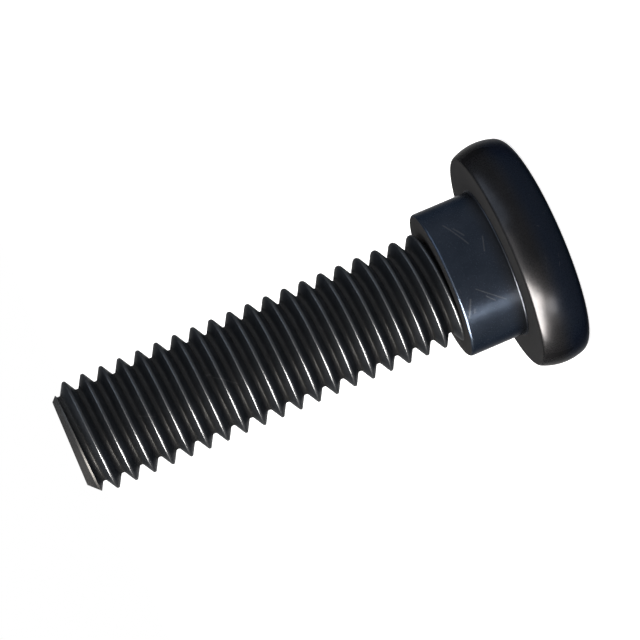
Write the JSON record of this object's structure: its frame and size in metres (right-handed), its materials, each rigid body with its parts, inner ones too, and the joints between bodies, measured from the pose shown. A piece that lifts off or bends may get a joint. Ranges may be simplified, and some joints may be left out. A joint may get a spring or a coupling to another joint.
{
  "type": "shoulder screw",
  "caption": "Black steel shoulder screw with a low round head, a hexagon socket, a plain shoulder and a metric thread.",
  "frame": {"origin": "centre of the head's flat top, which is the lowest face, because the screw stands on its head", "axes": "+Z along the screw's axis, from the head through the shoulder to the thread's tip; two flats of the hexagon socket face +Y and -Y"},
  "size_m": [0.012, 0.012, 0.0261],
  "materials": {
    "black_steel": "black oxide, satin gloss with fine handling scratches and brighter thread crests"
  },
  "bodies": {
    "root": {"shoulder_screw": "black_steel"}
  },
  "joints": []
}
